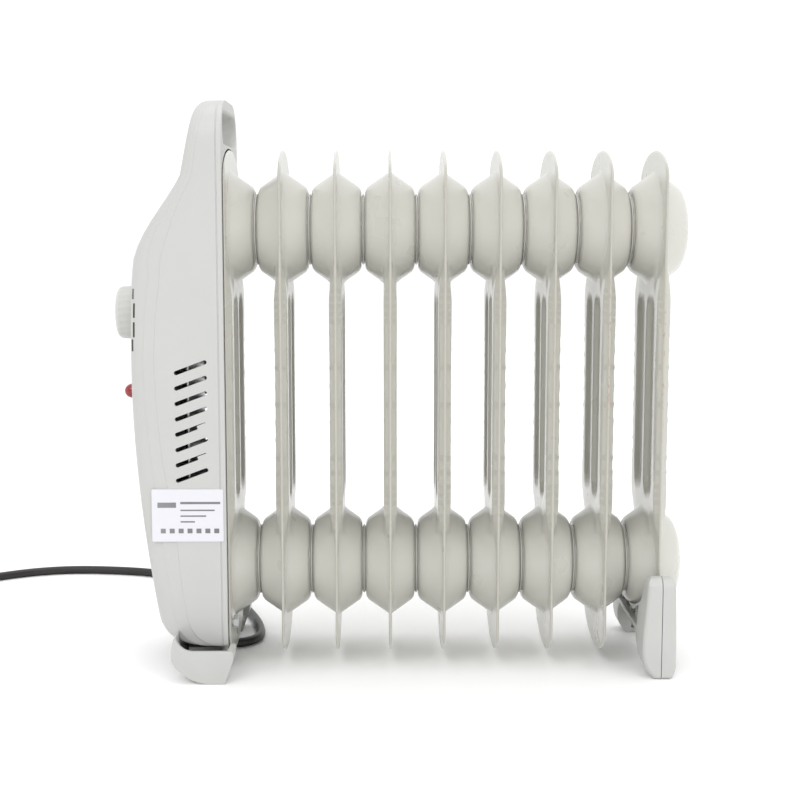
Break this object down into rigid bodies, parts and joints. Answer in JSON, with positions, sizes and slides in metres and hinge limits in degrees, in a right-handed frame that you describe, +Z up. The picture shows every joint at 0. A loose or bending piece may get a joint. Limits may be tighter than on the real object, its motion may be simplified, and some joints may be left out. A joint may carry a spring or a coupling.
{
  "type": "oil filled radiator heater",
  "caption": "Small free-standing oil filled radiator: pressed steel fins, moulded control box with a carrying handle, thermostat knob, lamp, feet and a coiled mains lead.",
  "frame": {"origin": "on the floor at the middle of the heater's own length and width, the mains lead not counted", "axes": "+X along the heater from the control box to the last fin, +Y across it, +Z up"},
  "size_m": [0.6273, 0.3077, 0.381],
  "materials": {
    "painted_steel": "glossy warm off-white baked enamel",
    "brass": "turned",
    "stainless": "dull tube",
    "zinc_steel": "zinc plated",
    "box_plastic": "satin moulded, light grey-white",
    "foot_plastic": "fine grained moulded",
    "knob_plastic": "moulded with a ribbed rim",
    "red_lens": "clear red moulded",
    "ceramic": "unglazed steatite",
    "phenolic": "moulded phenolic",
    "black_pvc": "smooth flexible sheath",
    "tie_plastic": "plain strap",
    "label_film": "printed film, left blank",
    "brown_lead": "smooth",
    "blue_lead": "smooth",
    "green_lead": "smooth"
  },
  "bodies": {
    "heater": {"fin_1": "painted_steel", "fin_2": "painted_steel", "fin_3": "painted_steel", "fin_4": "painted_steel", "fin_5": "painted_steel", "fin_6": "painted_steel", "fin_7": "painted_steel", "fin_8": "painted_steel", "fin_9": "painted_steel", "oil_filler_plug": "brass", "element_flange": "brass", "earth_screw": "brass", "heating_element": "stainless", "element_terminal_1": "zinc_steel", "element_terminal_2": "zinc_steel", "mounting_plate": "zinc_steel", "housing_screw_1": "zinc_steel", "housing_screw_2": "zinc_steel", "thermostat_screw_1": "zinc_steel", "thermostat_screw_2": "zinc_steel", "front_foot_screw_1": "zinc_steel", "front_foot_screw_2": "zinc_steel", "front_foot_nut_1": "zinc_steel", "front_foot_nut_2": "zinc_steel", "rear_foot_screw_1": "zinc_steel", "rear_foot_screw_2": "zinc_steel", "plug_pin_1": "zinc_steel", "plug_pin_2": "zinc_steel", "control_box_housing": "box_plastic", "front_foot": "foot_plastic", "rear_foot_inner_half": "foot_plastic", "rear_foot_outer_half": "foot_plastic", "indicator_lens": "red_lens", "thermostat_body": "ceramic", "indicator_lamp": "ceramic", "thermal_cutout": "phenolic", "terminal_block": "phenolic", "power_cord": "black_pvc", "power_cord_tail": "black_pvc", "power_cord_coil": "black_pvc", "cord_strain_relief": "black_pvc", "plug_body": "black_pvc", "coil_tie": "tie_plastic", "rating_label": "label_film", "live_lead": "brown_lead", "neutral_lead": "blue_lead", "earth_lead": "green_lead"},
    "knob": {"thermostat_knob": "knob_plastic", "thermostat_shaft": "zinc_steel"}
  },
  "joints": [
    {"name": "thermostat_turn", "type": "hinge", "parent": "heater", "child": "knob", "pos_m": [-0.18, 0, 0.24], "axis": [1, 0, 0], "range_deg": [0, 270]}
  ]
}
